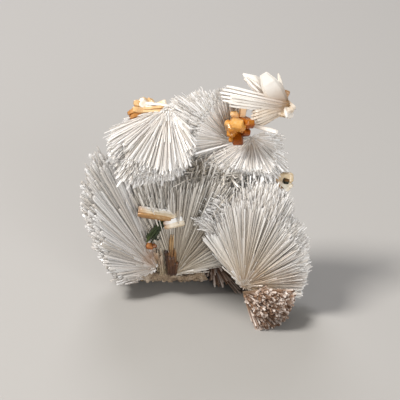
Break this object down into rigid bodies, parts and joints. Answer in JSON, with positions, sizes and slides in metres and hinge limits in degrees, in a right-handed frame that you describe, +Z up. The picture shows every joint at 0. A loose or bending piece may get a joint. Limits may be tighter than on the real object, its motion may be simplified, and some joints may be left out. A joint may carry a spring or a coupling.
{
  "type": "scolecite with stilbite mineral specimen",
  "caption": "Hand specimen of radiating white needle sprays with honey, cream and pearly bladed crystals on a thin crust, resting on its own underside.",
  "frame": {"origin": "on the table, under the middle of the specimen's box", "axes": "+Z up, -Y towards the side that the picture shows, +X to that side's right"},
  "size_m": [0.0703, 0.0526, 0.0728],
  "materials": {
    "scolecite": "silky to glassy white needles, part translucent",
    "stained_scolecite": "dull pinkish-brown stained needles",
    "crust": "crumbly beige-brown crust",
    "pearly_stilbite": "pearly white blades, tan at the root",
    "honey_stilbite": "glassy honey-orange crystals",
    "cream_stilbite": "pearly cream and tan crystals",
    "celadonite": "dark green, dull to waxy",
    "iron_stain": "rusty brown stain"
  },
  "bodies": {
    "root": {"left_spray": "scolecite", "upper_left_spray": "scolecite", "upper_middle_spray": "scolecite", "centre_spray": "scolecite", "right_spray": "scolecite", "lower_right_spray": "scolecite", "foot_spray": "stained_scolecite", "back_left_spray": "scolecite", "back_right_spray": "scolecite", "back_foot_spray": "stained_scolecite", "crust": "crust", "pearly_stilbite_fan": "pearly_stilbite", "honey_stilbite_cluster": "honey_stilbite", "crest_stilbite_cluster": "cream_stilbite", "cream_stilbite_blades": "cream_stilbite", "corner_stilbite": "cream_stilbite", "celadonite_stem": "celadonite", "iron_stained_knob": "iron_stain", "iron_stained_column": "iron_stain"}
  },
  "joints": []
}
